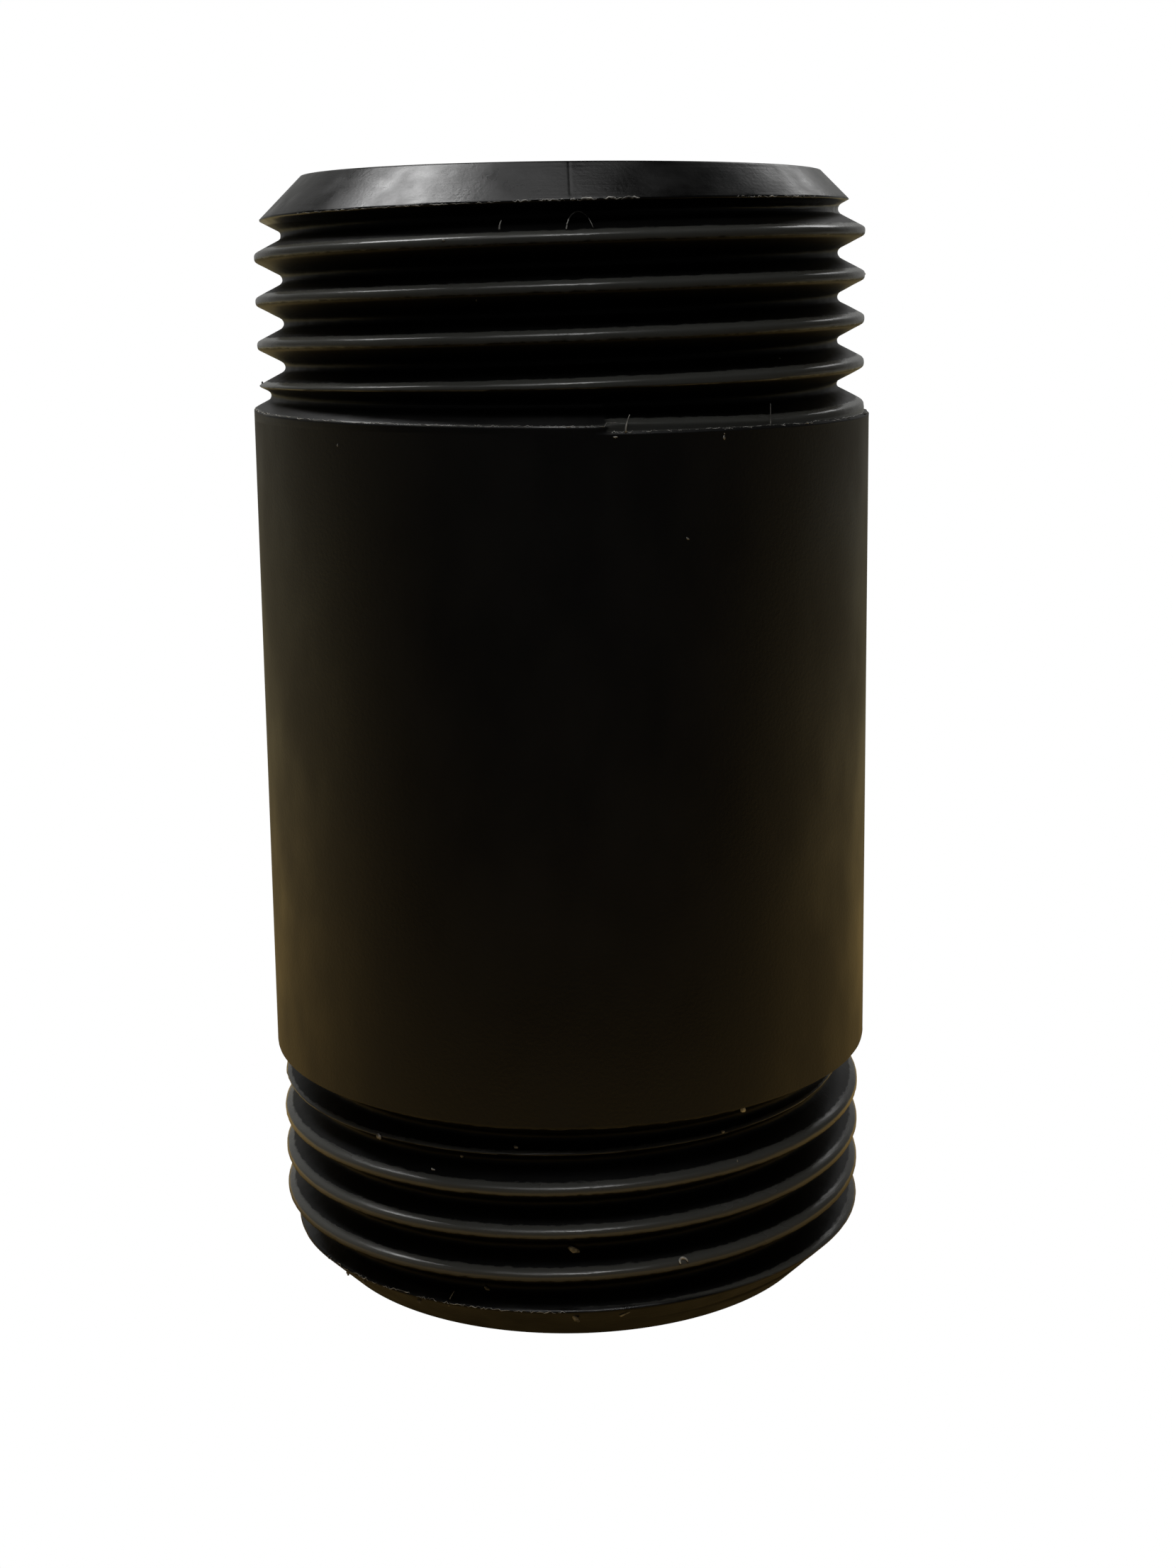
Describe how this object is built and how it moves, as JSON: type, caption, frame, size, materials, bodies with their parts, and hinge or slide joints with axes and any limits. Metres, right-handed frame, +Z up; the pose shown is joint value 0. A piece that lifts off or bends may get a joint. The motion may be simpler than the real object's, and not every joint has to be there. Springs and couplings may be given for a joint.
{
  "type": "threaded pipe nipple",
  "caption": "Straight barrel pipe nipple with a plain round middle, a parallel external thread with a lead chamfer on each end, and a through bore.",
  "frame": {"origin": "centre of the lower end face, on the bore's axis", "axes": "+Z up the bore to the upper end face; -Y is the side where the upper thread's run-out step ends"},
  "size_m": [0.0334, 0.0334, 0.06],
  "materials": {
    "black_plastic": "black rigid pipe plastic, fine satin on the barrel and brighter on the cut threads"
  },
  "bodies": {
    "root": {"nipple_body": "black_plastic"}
  },
  "joints": []
}
